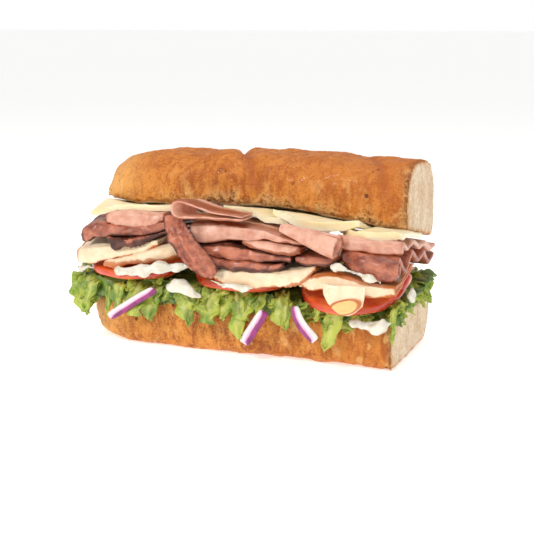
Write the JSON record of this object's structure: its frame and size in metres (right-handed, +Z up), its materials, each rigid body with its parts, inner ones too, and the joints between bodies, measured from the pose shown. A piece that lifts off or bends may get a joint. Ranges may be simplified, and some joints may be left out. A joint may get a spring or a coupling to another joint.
{
  "type": "submarine sandwich",
  "caption": "Submarine sandwich half: crusty roll cut at one end, filled with turkey, roast beef, ham, cheese, tomato, onion, lettuce and mayonnaise.",
  "frame": {"origin": "middle of the lower roll's flat underside, on the surface it rests on", "axes": "+X along the loaf towards the cut end, -Y towards the open side that shows the filling, +Z up"},
  "size_m": [0.1622, 0.0841, 0.0859],
  "materials": {
    "crust": "baked golden-brown crust, matt to satin",
    "lettuce": "crisp, moist leaf",
    "onion": "moist white flesh with a magenta skin edge",
    "tomato": "wet red flesh, glossy skin",
    "turkey": "moist pale slice with a browned rind",
    "beef": "moist reddish-brown slice with a dark edge",
    "ham": "smooth moist pink slice with a brown edge",
    "cheese": "smooth pale yellow, satin",
    "mayonnaise": "glossy creamy white"
  },
  "bodies": {
    "root": {"beef_centre": "beef", "beef_drape": "beef", "beef_left": "beef", "beef_left_flap": "beef", "beef_middle": "beef", "beef_middle_under": "beef", "beef_right": "beef", "bread_lower": "crust", "bread_upper": "crust", "cheese_centre": "cheese", "cheese_left": "cheese", "cheese_middle": "cheese", "cheese_right": "cheese", "ham_cone": "ham", "ham_folded_under": "ham", "ham_left": "ham", "ham_loop": "ham", "ham_middle": "ham", "ham_right": "ham", "lettuce": "lettuce", "mayonnaise_cut_end": "mayonnaise", "mayonnaise_far_left": "mayonnaise", "mayonnaise_left": "mayonnaise", "mayonnaise_lower_right": "mayonnaise", "mayonnaise_middle": "mayonnaise", "mayonnaise_on_lettuce": "mayonnaise", "mayonnaise_upper_right": "mayonnaise", "onion_left": "onion", "onion_middle": "onion", "onion_right": "onion", "tomato_left": "tomato", "tomato_middle": "tomato", "tomato_right": "tomato", "turkey_flap": "turkey", "turkey_left": "turkey", "turkey_left_under": "turkey", "turkey_middle": "turkey", "turkey_right": "turkey"}
  },
  "joints": []
}
